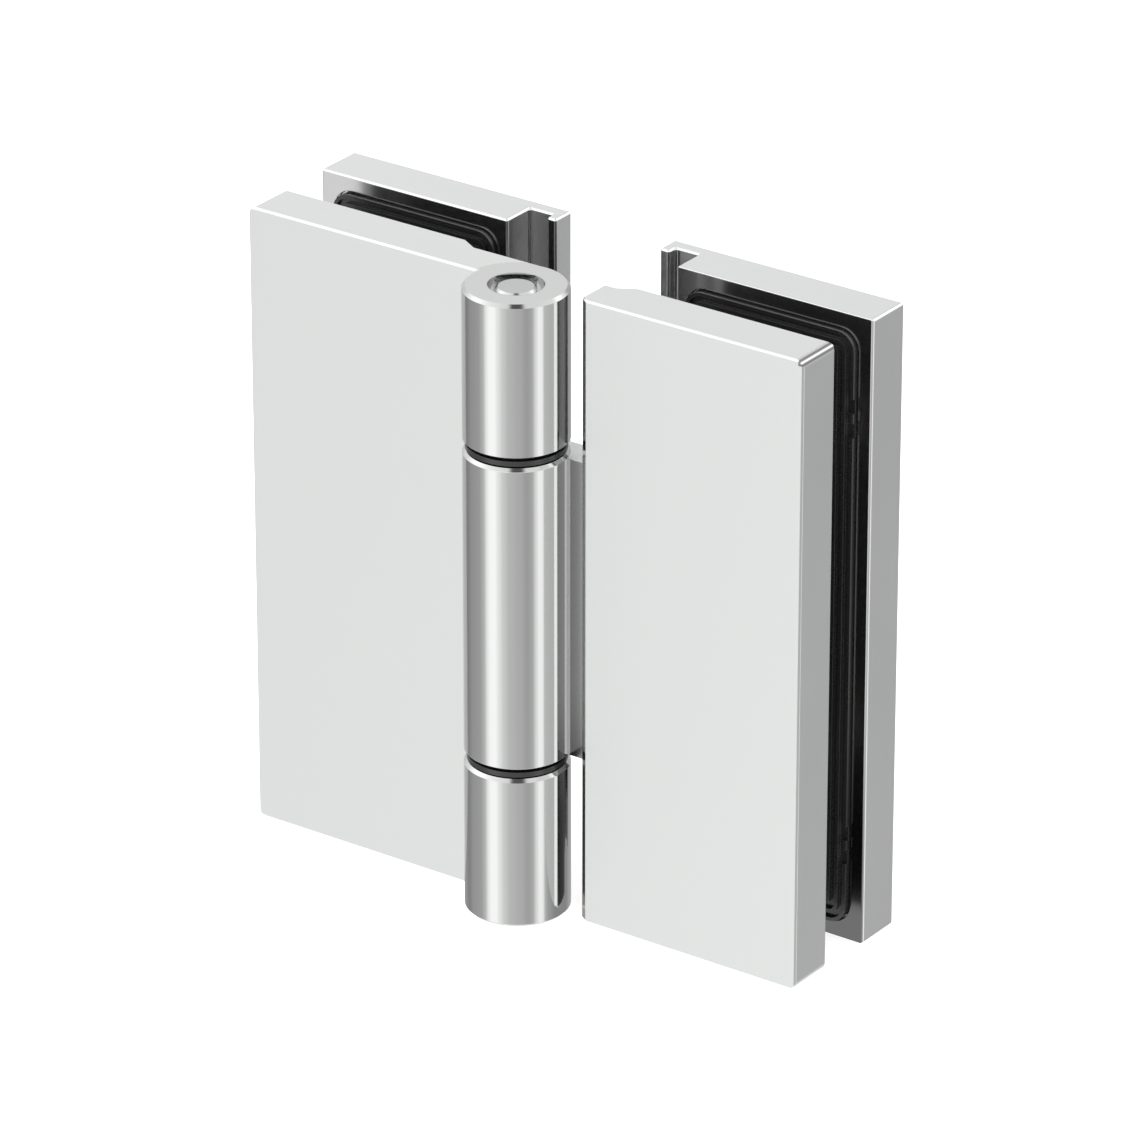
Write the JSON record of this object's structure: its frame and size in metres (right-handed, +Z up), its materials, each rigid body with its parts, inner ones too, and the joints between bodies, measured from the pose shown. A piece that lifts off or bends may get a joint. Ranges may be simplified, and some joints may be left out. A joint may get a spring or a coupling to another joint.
{
  "type": "glass door hinge",
  "caption": "Glass-to-glass door hinge with two clamping leaves on a three-knuckle barrel, ribbed gaskets and rear clamp screws.",
  "frame": {"origin": "centre of the footprint on the plane of the lower end faces, so the hinge axis stands at x = 0, 9.45 mm in front of the origin", "axes": "+Z up along the hinge pin; +X across the leaves towards the door leaf; -Y towards the front plates' shown faces"},
  "size_m": [0.098, 0.0346, 0.1],
  "materials": {
    "satin_stainless": "fine satin stainless, polished on the barrel",
    "pin_steel": "ground stainless",
    "screw_steel": "plain stainless",
    "black_rubber": "moulded matt rubber",
    "black_polymer": "smooth black polymer",
    "white_nylon": "natural nylon",
    "bush_bronze": "sintered bronze"
  },
  "bodies": {
    "fixed_leaf": {"left_front_plate": "satin_stainless", "left_rear_plate": "satin_stainless", "left_front_gasket": "black_rubber", "left_rear_gasket": "black_rubber", "left_clamp_screw_lower": "screw_steel", "left_clamp_screw_upper": "screw_steel", "left_glass_sleeve_lower": "white_nylon", "left_glass_sleeve_upper": "white_nylon", "hinge_pin": "pin_steel", "lower_thrust_washer": "black_polymer", "upper_thrust_washer": "black_polymer", "lower_pin_set_screw": "screw_steel", "upper_pin_set_screw": "screw_steel"},
    "door_leaf": {"right_front_plate": "satin_stainless", "right_rear_plate": "satin_stainless", "right_front_gasket": "black_rubber", "right_rear_gasket": "black_rubber", "right_clamp_screw_lower": "screw_steel", "right_clamp_screw_upper": "screw_steel", "right_glass_sleeve_lower": "white_nylon", "right_glass_sleeve_upper": "white_nylon", "lower_bush": "bush_bronze", "upper_bush": "bush_bronze"}
  },
  "joints": [
    {"name": "door_swing", "type": "hinge", "parent": "fixed_leaf", "child": "door_leaf", "pos_m": [0, -0.00945, 0.05], "axis": [0, 0, 1], "range_deg": [-180, 0]}
  ]
}
